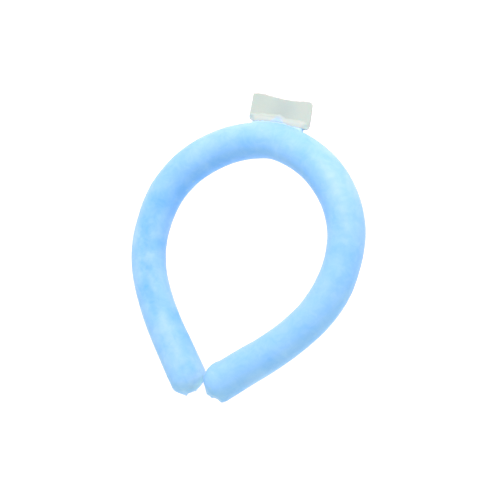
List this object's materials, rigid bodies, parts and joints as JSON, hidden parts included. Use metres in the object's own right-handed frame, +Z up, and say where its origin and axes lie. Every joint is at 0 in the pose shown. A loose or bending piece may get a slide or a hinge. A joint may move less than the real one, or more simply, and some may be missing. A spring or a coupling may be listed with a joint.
{
  "type": "cooling neck ring",
  "caption": "Soft film tube filled with coolant gel, bent to a drop-shaped ring with its ends meeting in front and a flat sealing tab behind, worn round the neck.",
  "frame": {"origin": "under the middle of the whole object, on the surface that the ring lies on", "axes": "+Z up out of the ring's plane, +Y from the meeting ends in front to the sealing tab behind, +X across the ring"},
  "size_m": [0.156, 0.194, 0.0234],
  "materials": {
    "satin_film": "satin, milky translucent film",
    "milky_gel": "cloudy set gel",
    "clear_film": "greyish clear film, welded"
  },
  "bodies": {
    "root": {"film_sleeve": "satin_film", "coolant_gel": "milky_gel", "sealing_tab": "clear_film"}
  },
  "joints": []
}
